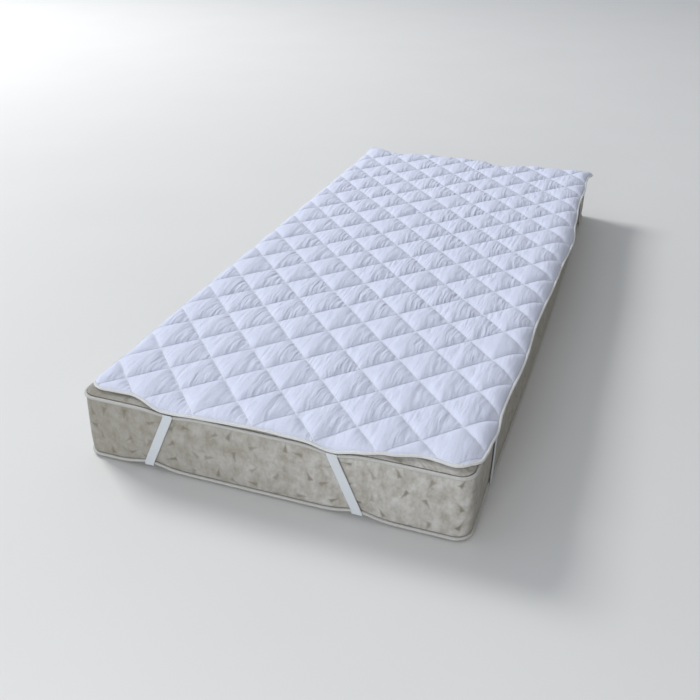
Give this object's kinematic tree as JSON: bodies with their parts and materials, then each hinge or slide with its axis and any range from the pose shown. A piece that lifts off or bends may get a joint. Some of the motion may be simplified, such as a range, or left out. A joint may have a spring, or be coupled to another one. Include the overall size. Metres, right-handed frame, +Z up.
{
  "type": "quilted mattress pad on a mattress",
  "caption": "Diamond-quilted mattress pad with a bound edge and elastic corner straps, lying on a plain mattress with piped edges.",
  "frame": {"origin": "middle of the mattress's flat underside", "axes": "+Y from the foot to the head, +X to the right seen from the foot, +Z up"},
  "size_m": [0.952, 2.016, 0.1879],
  "materials": {
    "pad_cloth": "smooth white cotton percale over soft wadding, quilted in diamonds",
    "binding_tape": "narrow off-white woven tape folded over the edge and stitched",
    "elastic": "flat white ribbed knitted elastic",
    "ticking": "woven beige ticking with small brown leaf marks",
    "welt_cloth": "pale woven piping cloth over a cord"
  },
  "bodies": {
    "root": {"mattress": "ticking", "welt_top": "welt_cloth", "welt_bottom": "welt_cloth", "pad": "pad_cloth", "binding": "binding_tape", "strap_foot_left": "elastic", "strap_foot_right": "elastic", "strap_head_left": "elastic", "strap_head_right": "elastic"}
  },
  "joints": []
}
